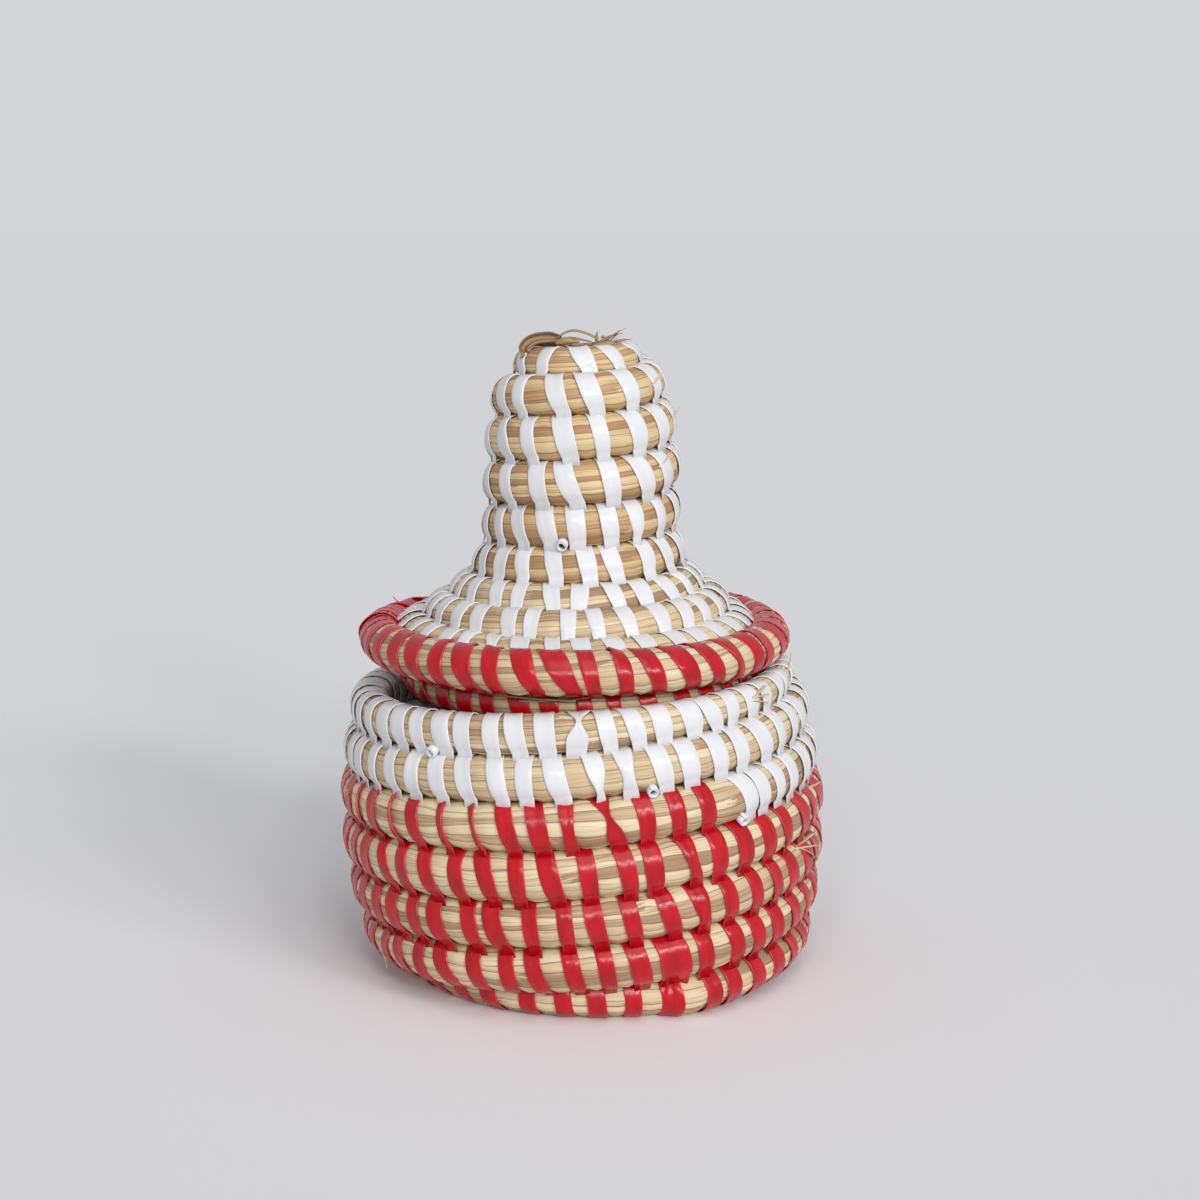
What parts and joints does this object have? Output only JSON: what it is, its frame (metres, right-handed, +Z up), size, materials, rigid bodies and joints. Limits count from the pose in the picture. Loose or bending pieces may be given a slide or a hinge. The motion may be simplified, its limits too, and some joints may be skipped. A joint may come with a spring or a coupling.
{
  "type": "lidded coiled basket",
  "caption": "Small round basket coiled from grass bundles lashed with red and white strips, with a flared lid and a tall hollow knob.",
  "frame": {"origin": "middle of the outline, on the surface the basket stands on", "axes": "+Z up along the pot's and the lid's common axis, -Y towards the front that the picture shows"},
  "size_m": [0.1038, 0.103, 0.1387],
  "materials": {
    "bundle_grass": "dry grass stems, matte to silky",
    "tuft_grass": "dry brown grass blades",
    "red_strip": "glossy flat plastic strip",
    "white_strip": "glossy flat plastic strip"
  },
  "bodies": {
    "pot": {"pot_grass_coil": "bundle_grass", "base_red_strip_1": "red_strip", "wall_red_strip_1": "red_strip", "wall_red_strip_2": "red_strip", "wall_red_strip_3": "red_strip", "wall_white_strip_1": "white_strip", "wall_white_strip_2": "white_strip"},
    "lid": {"lid_grass_coil": "bundle_grass", "brim_red_strip_1": "red_strip", "lid_white_strip_1": "white_strip", "lid_white_strip_2": "white_strip", "lid_white_strip_3": "white_strip", "lid_white_strip_4": "white_strip", "lid_white_strip_5": "white_strip", "mouth_ring_grass": "bundle_grass", "mouth_ring_red_strip_1": "red_strip", "knob_tuft": "tuft_grass"}
  },
  "joints": [
    {"name": "lid_lift", "type": "slide", "parent": "pot", "child": "lid", "axis": [0, 0, 1], "range_m": [0, 0.09]}
  ]
}
